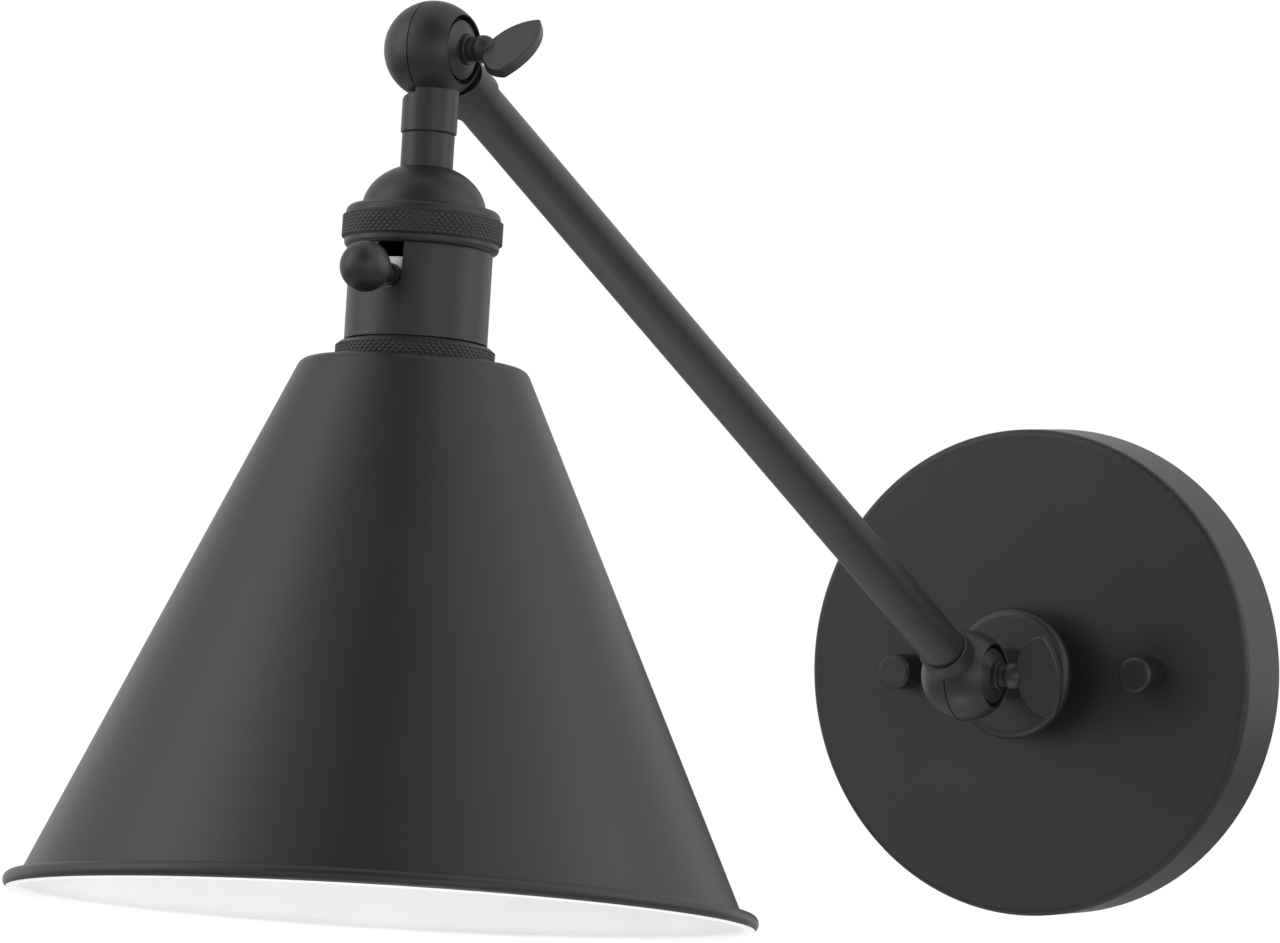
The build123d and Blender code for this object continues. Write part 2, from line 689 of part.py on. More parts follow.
def shade():
    """Spun cone with a flat top, a round shoulder and a rolled bead at its mouth."""
    cone_end = BEAD_CENTRE_DROP + SHEET_PAST_BEAD_CENTRE
    horizontal_sheet = SHADE_SHEET * math.sqrt(1 + SHADE_SLOPE**2)
    corner = SHADE_BALL_RADIUS + SHADE_SLOPE * SHADE_TOP
    inner_corner = SHADE_BALL_RADIUS + SHADE_SLOPE * (SHADE_TOP + SHADE_SHEET) - horizontal_sheet
    mouth = SHADE_BALL_RADIUS + SHADE_SLOPE * cone_end
    cone = turned(
        (SPIGOT_RADIUS, SHADE_TOP),
        (corner, SHADE_TOP, SHADE_CORNER_ROUND),
        (mouth, cone_end),
        (mouth - horizontal_sheet, cone_end),
        (inner_corner, SHADE_TOP + SHADE_SHEET, SHADE_CORNER_ROUND - SHADE_SHEET),
        (SPIGOT_RADIUS, SHADE_TOP + SHADE_SHEET),
    )
    bead = Pos(0, 0, BEAD_CENTRE_DROP) * Torus(BEAD_CENTRE_RADIUS, BEAD_RADIUS)
    return HEAD * (cone + bead)


def shade_ring():
    """Knurled ring that clamps the shade from above."""
    return HEAD * turned(
        (SPIGOT_RADIUS, SHADE_RING_TOP),
        (SHADE_RING_RADIUS - SHADE_RING_BEVEL, SHADE_RING_TOP),
        (SHADE_RING_RADIUS, SHADE_RING_TOP + SHADE_RING_BEVEL),
        (SHADE_RING_RADIUS, SHADE_TOP),
        (SPIGOT_RADIUS, SHADE_TOP),
    )


def shade_ring_nut():
    """Plain ring that clamps the shade from inside."""
    top = SHADE_TOP + SHADE_SHEET
    return HEAD * turned(
        (SPIGOT_RADIUS, top),
        (RING_NUT_RADIUS, top),
        (RING_NUT_RADIUS, top + RING_NUT_THICKNESS, RING_NUT_ROUND),
        (SPIGOT_RADIUS, top + RING_NUT_THICKNESS),
    )


PIECES = {
    "backplate": backplate(),
    "crossbar": crossbar(),
    "mounting_studs": mounting_studs(),
    "stud_lock_nuts": stud_lock_nuts(),
    "cap_nuts": cap_nuts(),
    "ground_screw": ground_screw(),
    "hub_bushing": hub_bushing(),
    "hub_disc": hub_disc(),
    "hub_nipple": hub_nipple(),
    "hub_washer": hub_washer(),
    "hub_lock_nut": hub_lock_nut(),
    "hub_knuckle": knuckle_half(HUB_NECK, False, HUB_NECK_END, socket_start=HUB_NECK_SOCKET),
    "hub_leads": HUB * wires(NIPPLE_BACK, BALL_OUT - WIRE_START),
    "lower_arm_knuckle": knuckle_half(
        ARM, True, LOWER_NECK_END, spigot_end=LOWER_NECK_END + SPIGOT_LENGTH
    ),
    "lower_dish_washer": dish_washer(LOWER_BALL),
    "lower_wing_screw": wing_screw(LOWER_BALL, LOWER_WING_ANGLE),
    "friction_washers": friction_washers(),
    "arm_tube": arm_tube(),
    "arm_leads": ARM * wires(WIRE_START, ARM_LENGTH - WIRE_START),
    "upper_arm_knuckle": knuckle_half(
        ARM_DOWN, False, UPPER_NECK_END, spigot_end=UPPER_NECK_END + SPIGOT_LENGTH
    ),
    "upper_wing_screw": wing_screw(UPPER_BALL, UPPER_WING_ANGLE),
    "upper_dish_washer": dish_washer(UPPER_BALL),
    "head_knuckle": knuckle_half(HEAD, True, HEAD_NECK_END, socket_start=HEAD_NIPPLE_START),
    "head_stem": head_stem(),
    "stem_nipple": stem_nipple(),
    "cap_lock_nut": cap_lock_nut(),
    "socket_cap": socket_cap(),
    "cap_ring": cap_ring(),
    "socket_shell": socket_shell(),
    "insulating_liner": insulating_liner(),
    "socket_leads": HEAD * wires(WIRE_START, HOUSING_TOP),
    "switch_housing": switch_housing(),
    "terminal_screws": terminal_screws(),
    "knob_bushing": knob_bushing(),
    "switch_shaft": switch_shaft(),
    "switch_knob": switch_knob(),
    "lamp_body": lamp_body(),
    "screw_shell": screw_shell(),
    "centre_contact": centre_contact(),
    "shade_ring": shade_ring(),
    "shade": shade(),
    "shade_ring_nut": shade_ring_nut(),
}

os.makedirs("parts", exist_ok=True)
for name, piece in PIECES.items():
    export_step(piece, f"parts/{name}.step")
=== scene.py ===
import json
import math

import bmesh
import bpy
from mathutils import Matrix, Vector


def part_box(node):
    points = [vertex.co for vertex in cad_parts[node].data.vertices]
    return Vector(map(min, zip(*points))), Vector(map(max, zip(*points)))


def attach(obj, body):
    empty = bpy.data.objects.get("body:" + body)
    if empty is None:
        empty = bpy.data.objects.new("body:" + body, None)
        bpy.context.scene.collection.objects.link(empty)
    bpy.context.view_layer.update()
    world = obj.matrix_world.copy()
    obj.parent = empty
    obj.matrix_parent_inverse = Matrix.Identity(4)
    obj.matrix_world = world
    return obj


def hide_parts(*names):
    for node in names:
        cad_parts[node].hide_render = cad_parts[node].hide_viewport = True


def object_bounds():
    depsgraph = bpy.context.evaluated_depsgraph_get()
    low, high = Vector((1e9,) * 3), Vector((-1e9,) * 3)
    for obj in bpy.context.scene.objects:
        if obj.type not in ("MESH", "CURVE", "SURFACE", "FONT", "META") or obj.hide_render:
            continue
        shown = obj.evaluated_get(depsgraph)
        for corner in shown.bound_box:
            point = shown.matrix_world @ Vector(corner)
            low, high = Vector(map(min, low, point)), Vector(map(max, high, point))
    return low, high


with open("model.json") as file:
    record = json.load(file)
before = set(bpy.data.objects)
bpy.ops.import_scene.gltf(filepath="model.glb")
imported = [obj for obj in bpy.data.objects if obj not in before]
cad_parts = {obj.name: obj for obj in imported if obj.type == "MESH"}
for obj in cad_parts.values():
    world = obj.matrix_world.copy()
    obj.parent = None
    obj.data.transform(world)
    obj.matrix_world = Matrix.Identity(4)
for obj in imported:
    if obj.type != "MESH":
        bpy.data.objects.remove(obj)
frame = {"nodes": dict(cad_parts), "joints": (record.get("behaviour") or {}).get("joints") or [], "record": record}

MM = 0.001
cad_low, cad_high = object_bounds()

joints = {joint["name"]: joint for joint in frame["joints"]}
mounts = {mount["name"]: mount for mount in frame["record"]["mounts"]}
UPPER_BALL = Vector(joints["shade_tilt"]["pos_m"])
SHADE_AXIS = Vector(mounts["lampholder"]["axis"]).normalized()
ACROSS = Vector((1.0, 0.0, 0.0))


def frame_matrix(origin, z_axis):
    """Matrix of a frame whose local X is the row's X and whose local Z is the given axis."""
    y_axis = z_axis.cross(ACROSS)
    matrix = Matrix((ACROSS, y_axis, z_axis)).transposed().to_4x4()
    matrix.translation = origin
    return matrix


# local +Z runs from the upper ball down the shade's axis, and profiles are (radius, height) on it
HEAD = frame_matrix(UPPER_BALL, SHADE_AXIS)


# ---------------------------------------------------------------- mesh helpers

def new_object(name, mesh, body):
    """Piece that moves with a body."""
    piece = bpy.data.objects.new(name, mesh)
    bpy.context.scene.collection.objects.link(piece)
    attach(piece, body)
    return piece


def grid_of_revolution(name, rows, steps, matrix):
    """Closed mesh from closed profiles, each one turned to its own angle about local Z.

    rows(step) gives the profile at that step as (radius, height) in millimetres.
    """
    mesh = bpy.data.meshes.new(name)
    bm = bmesh.new()
    rings = []
    for step in range(steps):
        angle = 2 * math.pi * step / steps
        c, s = math.cos(angle), math.sin(angle)
        ring = [
            bm.verts.new(matrix @ Vector((r * MM * c, r * MM * s, h * MM)))
            for r, h in rows(step)
        ]
        rings.append(ring)
    count = len(rings[0])
    for step in range(steps):
        here, after = rings[step], rings[(step + 1) % steps]
        for i in range(count):
            j = (i + 1) % count
            bm.faces.new((here[i], after[i], after[j], here[j]))
    bmesh.ops.recalc_face_normals(bm, faces=bm.faces)
    for face in bm.faces:
        face.smooth = True
    bm.to_mesh(mesh)
    bm.free()
    return mesh


def smooth_by_angle(piece, degrees):
    """Smooth shading that keeps edges sharper than the angle."""
    piece.data.set_sharp_from_angle(angle=math.radians(degrees))


def arc(centre, radius, start, end, steps):
    """Points of an arc in the (radius, height) plane, angles in degrees."""
    points = []
    for i in range(steps + 1):
        angle = math.radians(start + (end - start) * i / steps)
        points.append((centre[0] + radius * math.cos(angle), centre[1] + radius * math.sin(angle)))
    return points


# ---------------------------------------------------------------- materials

# Noise scales, in turns per metre, and bump heights, in metres
PAINT_DRIFT_SCALE = 45.0
PAINT_PEEL_SCALE = 900.0
PAINT_GRAIN_SCALE = 3600.0
PAINT_PEEL_HEIGHT = 0.00005
PAINT_GRAIN_HEIGHT = 0.00002
METAL_GRAIN_SCALE = 900.0
METAL_BLOTCH_SCALE = 160.0
METAL_GRAIN_HEIGHT = 0.00002
GLAZE_POOL_SCALE = 220.0
GLAZE_SPECK_SCALE = 2600.0
GLAZE_POOL_HEIGHT = 0.0001
MATTE_GRAIN_HEIGHT = 0.00004


def new_material(name):
    """Empty node material, with its nodes, links and main shader."""
    material = bpy.data.materials.new(name)
    material.use_nodes = True
    nodes = material.node_tree.nodes
    return material, nodes, material.node_tree.links, nodes["Principled BSDF"]


def noise(nodes, links, coord, scale, detail=3.0, roughness=0.5):
    node = nodes.new("ShaderNodeTexNoise")
    node.inputs["Scale"].default_value = scale
    node.inputs["Detail"].default_value = detail
    node.inputs["Roughness"].default_value = roughness
    links.new(coord, node.inputs["Vector"])
    return node.outputs["Fac"]


def remap(nodes, links, value, low, high):
    """Map a 0 to 1 value onto low to high."""
    node = nodes.new("ShaderNodeMapRange")
    node.inputs["To Min"].default_value = low
    node.inputs["To Max"].default_value = high
    links.new(value, node.inputs["Value"])
    return node.outputs["Result"]


def two_tone(nodes, links, value, dark, light):
    ramp = nodes.new("ShaderNodeValToRGB")
    ramp.color_ramp.elements[0].position = 0.3
    ramp.color_ramp.elements[0].color = (*dark, 1)
    ramp.color_ramp.elements[1].position = 0.7
    ramp.color_ramp.elements[1].color = (*light, 1)
    links.new(value, ramp.inputs["Fac"])
    return ramp.outputs["Color"]


def bump(nodes, links, height, distance, strength, under=None):
    node = nodes.new("ShaderNodeBump")
    node.inputs["Distance"].default_value = distance
    node.inputs["Strength"].default_value = strength
    links.new(height, node.inputs["Height"])
    if under is not None:
        links.new(under, node.inputs["Normal"])
    return node.outputs["Normal"]


def object_coord(nodes):
    return nodes.new("ShaderNodeTexCoord").outputs["Object"]


def painted(name, dark, light, rough_low, rough_high, peel):
    """Baked paint: a fine orange peel, a finer grain and slow changes of sheen."""
    material, nodes, links, shader = new_material(name)
    coord = object_coord(nodes)
    slow = noise(nodes, links, coord, PAINT_DRIFT_SCALE, 2.0)
    fine = noise(nodes, links, coord, PAINT_PEEL_SCALE, 3.0)
    grain = noise(nodes, links, coord, PAINT_GRAIN_SCALE, 2.0)
    links.new(two_tone(nodes, links, slow, dark, light), shader.inputs["Base Color"])
    links.new(remap(nodes, links, fine, rough_low, rough_high), shader.inputs["Roughness"])
    peel_normal = bump(nodes, links, fine, PAINT_PEEL_HEIGHT, peel)
    normal = bump(nodes, links, grain, PAINT_GRAIN_HEIGHT, peel / 2, peel_normal)
    links.new(normal, shader.inputs["Normal"])
    return material


def metal(name, dark, light, rough_low, rough_high, stretch):
    """Bare or plated metal with a drawn grain along one axis."""
    material, nodes, links, shader = new_material(name)
    coord = object_coord(nodes)
    mapping = nodes.new("ShaderNodeMapping")
    mapping.inputs["Scale"].default_value = stretch
    links.new(coord, mapping.inputs["Vector"])
    lines = noise(nodes, links, mapping.outputs["Vector"], METAL_GRAIN_SCALE, 4.0)
    blotch = noise(nodes, links, coord, METAL_BLOTCH_SCALE, 3.0)
    links.new(two_tone(nodes, links, blotch, dark, light), shader.inputs["Base Color"])
    links.new(remap(nodes, links, lines, rough_low, rough_high), shader.inputs["Roughness"])
    links.new(bump(nodes, links, lines, METAL_GRAIN_HEIGHT, 0.35), shader.inputs["Normal"])
    shader.inputs["Metallic"].default_value = 1.0
    return material


def ceramic(name):
    """Glazed porcelain with faint unevenness in the glaze."""
    material, nodes, links, shader = new_material(name)
    coord = object_coord(nodes)
    pool = noise(nodes, links, coord, GLAZE_POOL_SCALE, 3.0)
    speck = noise(nodes, links, coord, GLAZE_SPECK_SCALE, 2.0)
    links.new(
        two_tone(nodes, links, pool, (0.74, 0.72, 0.66), (0.84, 0.82, 0.77)),
        shader.inputs["Base Color"],
    )
    links.new(remap(nodes, links, speck, 0.12, 0.26), shader.inputs["Roughness"])
    links.new(bump(nodes, links, pool, GLAZE_POOL_HEIGHT, 0.3), shader.inputs["Normal"])
    shader.inputs["Coat Weight"].default_value = 0.4
    shader.inputs["Coat Roughness"].default_value = 0.08
    return material


def matte(name, dark, light, rough_low, rough_high, scale):
    """Fibre board or plastic insulation with a fine matt grain."""
    material, nodes, links, shader = new_material(name)
    coord = object_coord(nodes)
    grain = noise(nodes, links, coord, scale, 4.0)
    links.new(two_tone(nodes, links, grain, dark, light), shader.inputs["Base Color"])
    links.new(remap(nodes, links, grain, rough_low, rough_high), shader.inputs["Roughness"])
    links.new(bump(nodes, links, grain, MATTE_GRAIN_HEIGHT, 0.5), shader.inputs["Normal"])
    return material


MATERIALS = {
    "black_paint": painted(
        "black_powder_coat", (0.0135, 0.0135, 0.0132), (0.0165, 0.0165, 0.016), 0.36, 0.46, 0.25
    ),
    "white_paint": painted(
        "white_enamel", (0.86, 0.86, 0.85), (0.90, 0.90, 0.89), 0.38, 0.48, 0.2
    ),
    "zinc_steel": metal(
        "zinc_plate", (0.50, 0.50, 0.49), (0.62, 0.62, 0.60), 0.25, 0.40, (1.0, 1.0, 0.1)
    ),
    "green_paint": painted(
        "green_zinc", (0.02, 0.20, 0.06), (0.03, 0.27, 0.09), 0.30, 0.42, 0.2
    ),
    "white_ceramic": ceramic("porcelain"),
    "brass": metal("brass", (0.62, 0.43, 0.17), (0.74, 0.54, 0.25), 0.22, 0.36, (0.2, 1.0, 1.0)),
    "nickel_shell": metal(
        "bright_aluminium", (0.70, 0.69, 0.67), (0.80, 0.79, 0.77), 0.16, 0.30, (1.0, 1.0, 0.2)
    ),
    "black_fibre": matte(
        "vulcanised_fibre", (0.012, 0.012, 0.012), (0.03, 0.03, 0.03), 0.6, 0.8, 1500.0
    ),
    "wire_jacket": matte(
        "wire_insulation", (0.02, 0.02, 0.02), (0.035, 0.035, 0.035), 0.4, 0.55, 1200.0
    ),
}


def paint_cad_nodes():
    """Give each CAD node the material of its slot in the record."""
    slots = {part["node"]: part["material_slot"] for part in frame["record"]["subparts"]}
    for name, node in frame["nodes"].items():
        node.data.materials.clear()
        node.data.materials.append(MATERIALS[slots[name]])


def add_piece(name, mesh, slot, node, sharp_angle=None):
    """Put a finished mesh on the head in place of a CAD node."""
    piece = new_object(name, mesh, "head")
    piece.data.materials.append(MATERIALS[slot])
    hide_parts(node)
    if sharp_angle:
        smooth_by_angle(piece, sharp_angle)


# ---------------------------------------------------------------- shade

# Millimetres. The cone's outer radius is RADIUS_AT_BALL plus SLOPE for each millimetre down the
# axis from the upper ball, and is below zero at the ball because the cone's tip lies lower.
SHADE_TOP = 74.55
SHEET = 1.0
OUTER_LAYER = 0.62
SLOPE = 0.4639
RADIUS_AT_BALL = -8.08
HOLE_RADIUS = 16.0
CORNER_ROUND = 2.8
CORNER_STEPS = 10
CORNER_GAP = 0.5
BEAD_CENTRE = (86.2, 200.8)
BEAD_RADIUS = 2.0
# where the three runs of the cone end, just short of the bead
OUTER_RUN_END = 199.7
MIDDLE_RUN_END = 199.2
INNER_RUN_END = 199.8
# angles round the bead: where it leaves the sheet outside and inside, and where the colours meet
BEAD_OUTER_START = -148.0
BEAD_INNER_START = 172.0
BEAD_PAINT_EDGE = 52.0
SHADE_STEPS = 288
SHADE_SHARP_ANGLE = 35


def cone_radius(height, inset):
    """Radius of the cone's sheet, inset from its outer face by a thickness."""
    return RADIUS_AT_BALL + SLOPE * height - inset * math.sqrt(1 + SLOPE**2)


def shoulder(inset):
    """Rounded corner between the flat top and the cone, inset from the outer face."""
    half_angle = math.atan(SLOPE)
    top = SHADE_TOP + inset
    radius = CORNER_ROUND - inset
    corner = cone_radius(top, inset)
    # the arc turns from straight up to the cone's outward normal
    turn = math.pi / 2 - half_angle
    tangent = radius * math.tan(turn / 2)
    centre = (corner - tangent, top + radius)
    return arc(centre, radius, -90.0, -math.degrees(half_angle), CORNER_STEPS)


def sheet_line(inset, start, end, steps=24):
    """Straight run of the cone between two heights."""
    heights = [start + (end - start) * i / steps for i in range(steps + 1)]
    return [(cone_radius(h, inset), h) for h in heights]


def sheet_profile(inset, run_end, ending):
    """Profile from the hole over the shoulder and down the cone, then the given last points."""
    start = [(HOLE_RADIUS, SHADE_TOP + inset)] + shoulder(inset)
    return start + sheet_line(inset, start[-1][1] + CORNER_GAP, run_end) + ending


def shade_pieces():
    """The spun sheet in two layers: black metal outside and white enamel inside."""
    outer_bead = arc(BEAD_CENTRE, BEAD_RADIUS, BEAD_OUTER_START, BEAD_PAINT_EDGE, 28)
    inner_bead = arc(BEAD_CENTRE, BEAD_RADIUS, BEAD_INNER_START, BEAD_PAINT_EDGE, 16)
    outer = sheet_profile(0.0, OUTER_RUN_END, outer_bead)
    middle = sheet_profile(OUTER_LAYER, MIDDLE_RUN_END, [BEAD_CENTRE])
    inner = sheet_profile(SHEET, INNER_RUN_END, inner_bead)
    black_profile = outer + middle[::-1]
    white_profile = middle + inner[::-1]
    black = grid_of_revolution("shade_metal", lambda step: black_profile, SHADE_STEPS, HEAD)
    white = grid_of_revolution("shade_enamel", lambda step: white_profile, SHADE_STEPS, HEAD)
    add_piece("shade_outside", black, "black_paint", "shade", SHADE_SHARP_ANGLE)
    add_piece("shade_inside", white, "white_paint", "shade", SHADE_SHARP_ANGLE)


# ---------------------------------------------------------------- knurled rings

# Diamonds round a ring, mesh steps to each, and their height, depth and flat top
KNURL_COUNT = 76
KNURL_SAMPLES = 12
KNURL_PITCH = 1.55
KNURL_DEPTH = 0.24
KNURL_FLAT = 0.34
KNURL_HOLLOW = 1.3
RING_SHARP_ANGLE = 40

# Ring that holds the socket's cap, in millimetres
SHELL_RADIUS = 16.84
DOME_BASE = 38.3
CAP_RING_BORE = 14.7
CAP_RING_TOP = 37.6
CAP_RING_BASE = 47.7
CAP_RING_RADIUS = 18.2
CAP_RING_TOP_ROUND = 1.9
CAP_RING_BASE_ROUND = 1.2
CAP_BAND_RADIUS = 18.9
CAP_BAND_TOP = 40.3
CAP_BAND_BASE = 45.3
CAP_BAND_SLOPE_ABOVE = 0.45
CAP_BAND_SLOPE_BELOW = 0.5
CAP_RING_FLAT_GAP = 0.1

# Ring that clamps the shade
SHADE_RING_TOP = 70.1
SHADE_RING_TOP_RADIUS = 17.75
SHADE_RING_BEVEL = (18.3, 70.6)
SHADE_BAND_RADIUS = 18.8
SHADE_BAND_TOP = 71.0
SHADE_BAND_BASE = 74.5
SHADE_RING_BASE_RADIUS = 18.6


def knurl_depth(share, height):
    """Share of the full depth, 0 on the diamonds' tops and 1 in the grooves."""
    u = share * KNURL_COUNT
    v = height / KNURL_PITCH
    a = abs((u + v) % 1.0 - 0.5) * 2
    b = abs((u - v) % 1.0 - 0.5) * 2
    groove = max(a, b)
    return max(0.0, (groove - KNURL_FLAT) / (1 - KNURL_FLAT)) ** KNURL_HOLLOW


def knurled_ring(name, before, band, after, node):
    """Ring whose band, (radius, top, base), has a diamond knurl; the rest is smooth."""
    radius, top, base = band
    rows = round((base - top) / KNURL_PITCH * KNURL_SAMPLES)
    steps = KNURL_COUNT * KNURL_SAMPLES

    def profile(step):
        share = step / steps
        middle = []
        for i in range(rows + 1):
            height = top + (base - top) * i / rows
            middle.append((radius - KNURL_DEPTH * knurl_depth(share, height - top), height))
        return before + middle + after

    mesh = grid_of_revolution(name, profile, steps, HEAD)
    add_piece(name, mesh, "black_paint", node, RING_SHARP_ANGLE)


def cap_ring_piece():
    """Ring that holds the cap on the shell: rounded above and below its knurled band."""
    top_centre = (CAP_RING_RADIUS - CAP_RING_TOP_ROUND, CAP_RING_TOP + CAP_RING_TOP_ROUND)
    base_centre = (CAP_RING_RADIUS - CAP_RING_BASE_ROUND, CAP_RING_BASE - CAP_RING_BASE_ROUND)
    before = [
        (SHELL_RADIUS, CAP_RING_BASE),
        (SHELL_RADIUS, DOME_BASE),
        (CAP_RING_BORE, DOME_BASE),
        (CAP_RING_BORE, CAP_RING_TOP),
        (top_centre[0] - CAP_RING_FLAT_GAP, CAP_RING_TOP),
    ]
    before += arc(top_centre, CAP_RING_TOP_ROUND, -88.0, -4.0, 10)
    before += [(CAP_RING_RADIUS, CAP_BAND_TOP - CAP_BAND_SLOPE_ABOVE)]
    after = [(CAP_RING_RADIUS, CAP_BAND_BASE + CAP_BAND_SLOPE_BELOW)]
    after += arc(base_centre, CAP_RING_BASE_ROUND, 2.0, 88.0, 8)
    band = (CAP_BAND_RADIUS, CAP_BAND_TOP, CAP_BAND_BASE)
    knurled_ring("cap_ring_knurled", before, band, after, "cap_ring")


def shade_ring_piece():
    """Ring that clamps the shade: a bevel above its knurled band."""
    before = [
        (HOLE_RADIUS, SHADE_TOP),
        (HOLE_RADIUS, SHADE_RING_TOP),
        (SHADE_RING_TOP_RADIUS, SHADE_RING_TOP),
        SHADE_RING_BEVEL,
    ]
    after = [(SHADE_RING_BASE_RADIUS, SHADE_TOP)]
    band = (SHADE_BAND_RADIUS, SHADE_BAND_TOP, SHADE_BAND_BASE)
    knurled_ring("shade_ring_knurled", before, band, after, "shade_ring")


# ---------------------------------------------------------------- lampholder sleeve

# Millimetres, with heights down the shade's axis from the upper ball
THREAD_CREST = 13.1
THREAD_DEPTH = 0.4
THREAD_PITCH = 25.4 / 7
THREAD_SHEET = 0.35
THREAD_SAMPLES = 14
SLEEVE_TOP = 65.0
SLEEVE_MOUTH = 87.0
SLEEVE_LIMIT_RADIUS = 13.58
SLEEVE_STEPS = 96


def lamp_thread():
    """Rolled sheet sleeve with the lamp's round thread, seven turns to the inch."""
    length = SLEEVE_MOUTH - SLEEVE_TOP
    rows = round(length / THREAD_PITCH * THREAD_SAMPLES)

    def profile(step):
        share = step / SLEEVE_STEPS
        inside, outside = [], []
        for i in range(rows + 1):
            height = SLEEVE_TOP + length * i / rows
            # the thread fades out over its first and last turns
            from_end = min(height - SLEEVE_TOP, SLEEVE_MOUTH - height)
            fade = max(0.0, min(1.0, from_end / THREAD_PITCH))
            wave = 0.5 + 0.5 * math.cos(2 * math.pi * (height / THREAD_PITCH - share))
            radius = THREAD_CREST + THREAD_DEPTH * wave * fade
            inside.append((radius, height))
            outside.append((min(radius + THREAD_SHEET, SLEEVE_LIMIT_RADIUS), height))
        return inside + outside[::-1]

    mesh = grid_of_revolution("lamp_thread", profile, SLEEVE_STEPS, HEAD)
    add_piece("screw_shell_threaded", mesh, "nickel_shell", "screw_shell")


# ---------------------------------------------------------------- stage

# Camera: its direction from the object's middle, its distance, and how far to the side and up
# of the middle it aims, in metres
VIEW_AZIMUTH = math.radians(28.70)
VIEW_ELEVATION = math.radians(0.19)
VIEW_DISTANCE = 2.5810
VIEW_SIDE = -0.0039
VIEW_RISE = 0.0028
LENS = 297.5
SENSOR_WIDTH = 36.0
VIEW_CLIP = 50.0

# Floor, a little way below the sconce, in metres
FLOOR_DROP = 0.55
FLOOR_RADIUS = 1.1

# Softboxes: name, azimuth and elevation in degrees, and power in watts
SOFTBOXES = [
    ("left_softbox", -50.0, 25.0, 2.5),
    ("right_softbox", 110.0, 15.0, 2.0),
]
SOFTBOX_DISTANCE = 1.1
SOFTBOX_SIZE = (0.6, 1.0)
UNDER_LIGHT_SIZE = 0.36
UNDER_LIGHT_SPREAD = math.radians(80.0)
UNDER_LIGHT_POWER = 0.33
UNDER_LIGHT_DROP = 0.30

# Glow of the white tent round the object. Each stop is (bearing from the camera's side in
# degrees, level). The low ring of glow gives way to the high one across GLOW_RISE, and fades
# down to GLOW_BELOW across GLOW_FALL. Both spans are heights on a unit sphere.
GLOW_LOW = [
    (-180.0, 1.0),
    (-60.0, 0.8),
    (-30.0, 0.9),
    (-4.0, 0.9),
    (24.0, 1.65),
    (60.0, 0.75),
    (180.0, 1.0),
]
GLOW_HIGH = [
    (-180.0, 0.7),
    (-62.0, 0.88),
    (-12.0, 0.04),
    (8.0, 0.05),
    (52.0, 1.05),
    (180.0, 0.65),
]
GLOW_RISE = (0.12, 0.55)
GLOW_FALL = (-0.35, -0.08)
GLOW_BELOW = 0.3
BACKDROP_LEVEL = 1.02


def add_camera():
    """Camera with a long lens, aimed a little off the object's middle."""
    centre = (cad_low + cad_high) / 2
    sa, ca = math.sin(VIEW_AZIMUTH), math.cos(VIEW_AZIMUTH)
    se, ce = math.sin(VIEW_ELEVATION), math.cos(VIEW_ELEVATION)
    back = Vector((sa * ce, -ca * ce, se))
    right = Vector((ca, sa, 0.0))
    target = centre + right * VIEW_SIDE + Vector((0, 0, VIEW_RISE))
    data = bpy.data.cameras.new("camera")
    camera = bpy.data.objects.new("camera", data)
    bpy.context.scene.collection.objects.link(camera)
    camera.location = target + back * VIEW_DISTANCE
    camera.rotation_mode = "QUATERNION"
    camera.rotation_quaternion = (-back).to_track_quat("-Z", "Y")
    data.sensor_width = SENSOR_WIDTH
    data.lens = LENS
    data.clip_end = VIEW_CLIP
    bpy.context.scene.camera = camera


def new_area_light(name, shape, power):
    """Area light with a power in watts, still at the origin."""
    data = bpy.data.lights.new(name, "AREA")
    data.shape = shape
    data.energy = power
    light = bpy.data.objects.new(name, data)
    bpy.context.scene.collection.objects.link(light)
    return light


def add_softbox(name, azimuth, elevation, power):
    """Rectangular light aimed at the middle of the object from a direction in degrees."""
    centre = (cad_low + cad_high) / 2
    a, e = math.radians(azimuth), math.radians(elevation)
    way = Vector((math.sin(a) * math.cos(e), -math.cos(a) * math.cos(e), math.sin(e)))
    light = new_area_light(name, "RECTANGLE", power)
    light.data.size, light.data.size_y = SOFTBOX_SIZE
    light.location = centre + way * SOFTBOX_DISTANCE
    light.rotation_mode = "QUATERNION"
    light.rotation_quaternion = (-way).to_track_quat("-Z", "Y")


def add_under_light():
    """Low softbox that points up into the shade's mouth and fills its white inside."""
    low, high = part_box("shade")
    light = new_area_light("under_softbox", "SQUARE", UNDER_LIGHT_POWER)
    light.data.size = UNDER_LIGHT_SIZE
    light.data.spread = UNDER_LIGHT_SPREAD
    light.location = (
        (low[0] + high[0]) / 2,
        (low[1] + high[1]) / 2,
        low[2] - UNDER_LIGHT_DROP,
    )
    light.rotation_euler = (math.pi, 0.0, 0.0)


def add_floor():
    """Plain pale floor under the sconce."""
    mesh = bpy.data.meshes.new("floor")
    bm = bmesh.new()
    bmesh.ops.create_circle(bm, cap_ends=True, radius=FLOOR_RADIUS, segments=96)
    bm.to_mesh(mesh)
    bm.free()
    floor = bpy.data.objects.new("floor", mesh)
    bpy.context.scene.collection.objects.link(floor)
    centre = (cad_low + cad_high) / 2
    floor.location = (centre.x, centre.y, cad_low.z - FLOOR_DROP)
    material, nodes, links, shader = new_material("floor_pale")
    slow = noise(nodes, links, object_coord(nodes), 3.0, 2.0)
    links.new(
        two_tone(nodes, links, slow, (0.70, 0.70, 0.69), (0.73, 0.73, 0.72)),
        shader.inputs["Base Color"],
    )
    shader.inputs["Roughness"].default_value = 0.9
    mesh.materials.append(material)


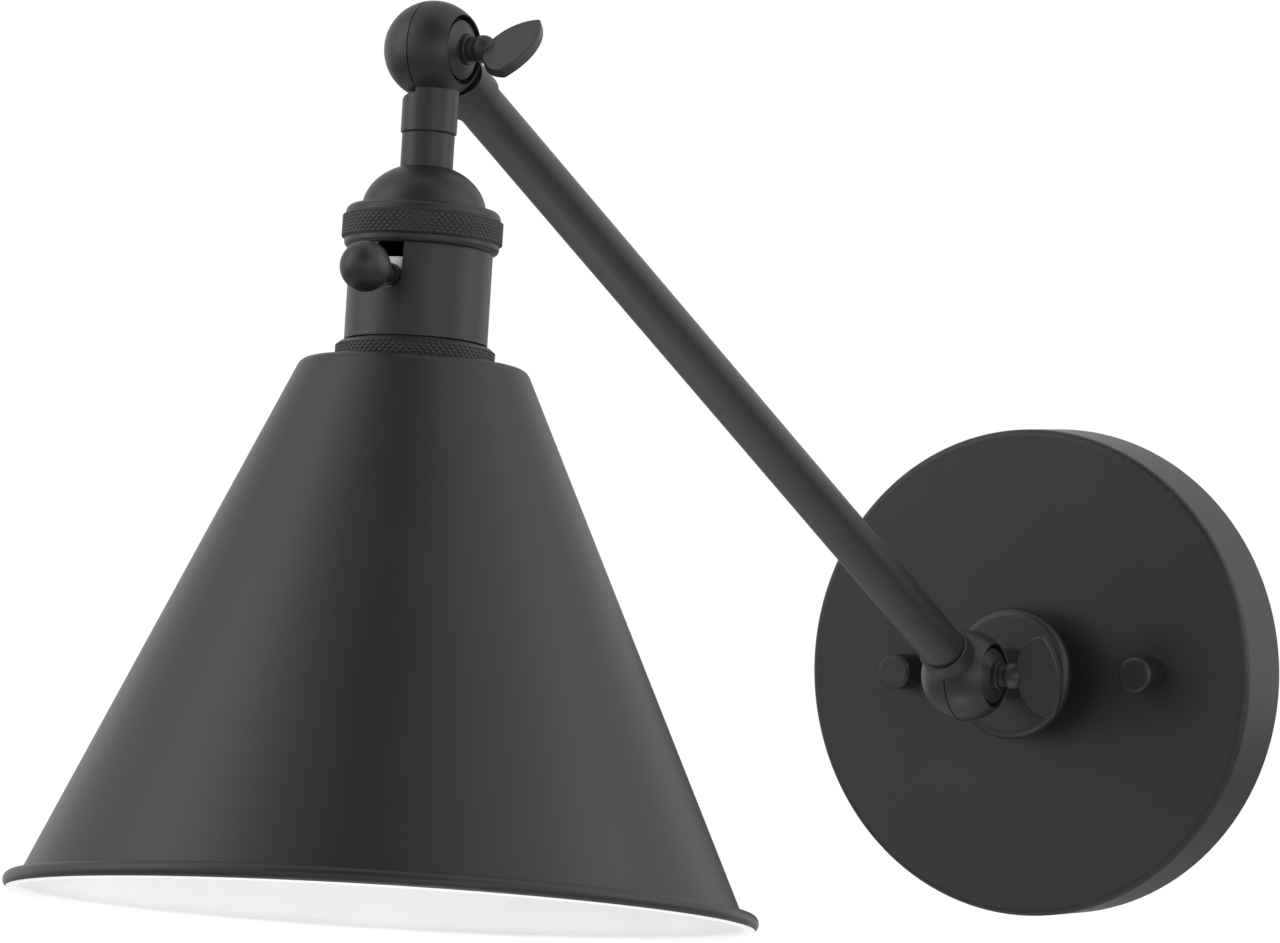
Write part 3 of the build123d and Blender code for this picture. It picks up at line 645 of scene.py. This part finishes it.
def dot(nodes, links, direction, vector):
    """Share of a direction that lies along a fixed unit vector."""
    node = nodes.new("ShaderNodeVectorMath")
    node.operation = "DOT_PRODUCT"
    links.new(direction, node.inputs[0])
    node.inputs[1].default_value = vector
    return node.outputs["Value"]


def smooth_step(nodes, links, value, span, low=0.0):
    """Rise smoothly from low to 1 as a value crosses a span, (start, end)."""
    node = nodes.new("ShaderNodeMapRange")
    node.interpolation_type = "SMOOTHSTEP"
    node.inputs["From Min"].default_value = span[0]
    node.inputs["From Max"].default_value = span[1]
    node.inputs["To Min"].default_value = low
    links.new(value, node.inputs["Value"])
    return node.outputs["Result"]


def glow_ramp(nodes, links, share, stops):
    """Grey ramp over the full turn from stops of (bearing in degrees, level)."""
    ramp = nodes.new("ShaderNodeValToRGB")
    ramp.color_ramp.interpolation = "EASE"
    elements = ramp.color_ramp.elements
    while len(elements) < len(stops):
        elements.new(0.5)
    # places first, because a stop that moves past another changes the order
    for element, (degrees, _) in zip(elements, stops):
        element.position = (degrees + 180.0) / 360.0
    for element, (_, level) in zip(elements, stops):
        element.color = (level, level, level, 1)
    links.new(share, ramp.inputs["Fac"])
    return ramp.outputs["Color"]


def bearing_share(nodes, links, direction):
    """Bearing of a direction from the camera's side, with -180 to 180 degrees as 0 to 1."""
    toward_front = (math.sin(VIEW_AZIMUTH), -math.cos(VIEW_AZIMUTH), 0.0)
    toward_right = (math.cos(VIEW_AZIMUTH), math.sin(VIEW_AZIMUTH), 0.0)
    bearing = nodes.new("ShaderNodeMath")
    bearing.operation = "ARCTAN2"
    links.new(dot(nodes, links, direction, toward_right), bearing.inputs[0])
    links.new(dot(nodes, links, direction, toward_front), bearing.inputs[1])
    share = nodes.new("ShaderNodeMapRange")
    share.inputs["From Min"].default_value = -math.pi
    share.inputs["From Max"].default_value = math.pi
    links.new(bearing.outputs["Value"], share.inputs["Value"])
    return share.outputs["Result"]


def add_world():
    """A white tent round the object, darker in front and above, and plain white behind it."""
    world = bpy.data.worlds.new("studio")
    bpy.context.scene.world = world
    world.use_nodes = True
    nodes, links = world.node_tree.nodes, world.node_tree.links
    nodes.clear()
    direction = nodes.new("ShaderNodeTexCoord").outputs["Generated"]
    share = bearing_share(nodes, links, direction)
    height = dot(nodes, links, direction, (0.0, 0.0, 1.0))
    tent = nodes.new("ShaderNodeMix")
    tent.data_type = "RGBA"
    links.new(smooth_step(nodes, links, height, GLOW_RISE), tent.inputs["Factor"])
    links.new(glow_ramp(nodes, links, share, GLOW_LOW), tent.inputs["A"])
    links.new(glow_ramp(nodes, links, share, GLOW_HIGH), tent.inputs["B"])
    lit = nodes.new("ShaderNodeBackground")
    links.new(tent.outputs["Result"], lit.inputs["Color"])
    strength = smooth_step(nodes, links, height, GLOW_FALL, GLOW_BELOW)
    links.new(strength, lit.inputs["Strength"])
    seen = nodes.new("ShaderNodeBackground")
    seen.inputs["Color"].default_value = (1, 1, 1, 1)
    seen.inputs["Strength"].default_value = BACKDROP_LEVEL
    path = nodes.new("ShaderNodeLightPath")
    mix = nodes.new("ShaderNodeMixShader")
    output = nodes.new("ShaderNodeOutputWorld")
    links.new(path.outputs["Is Camera Ray"], mix.inputs["Fac"])
    links.new(lit.outputs["Background"], mix.inputs[1])
    links.new(seen.outputs["Background"], mix.inputs[2])
    links.new(mix.outputs["Shader"], output.inputs["Surface"])


def set_the_stage():
    add_camera()
    add_world()
    add_floor()
    add_under_light()
    for softbox in SOFTBOXES:
        add_softbox(*softbox)
    view = bpy.context.scene.view_settings
    view.view_transform = "Standard"
    view.look = "None"


paint_cad_nodes()
shade_pieces()
cap_ring_piece()
shade_ring_piece()
lamp_thread()
set_the_stage()
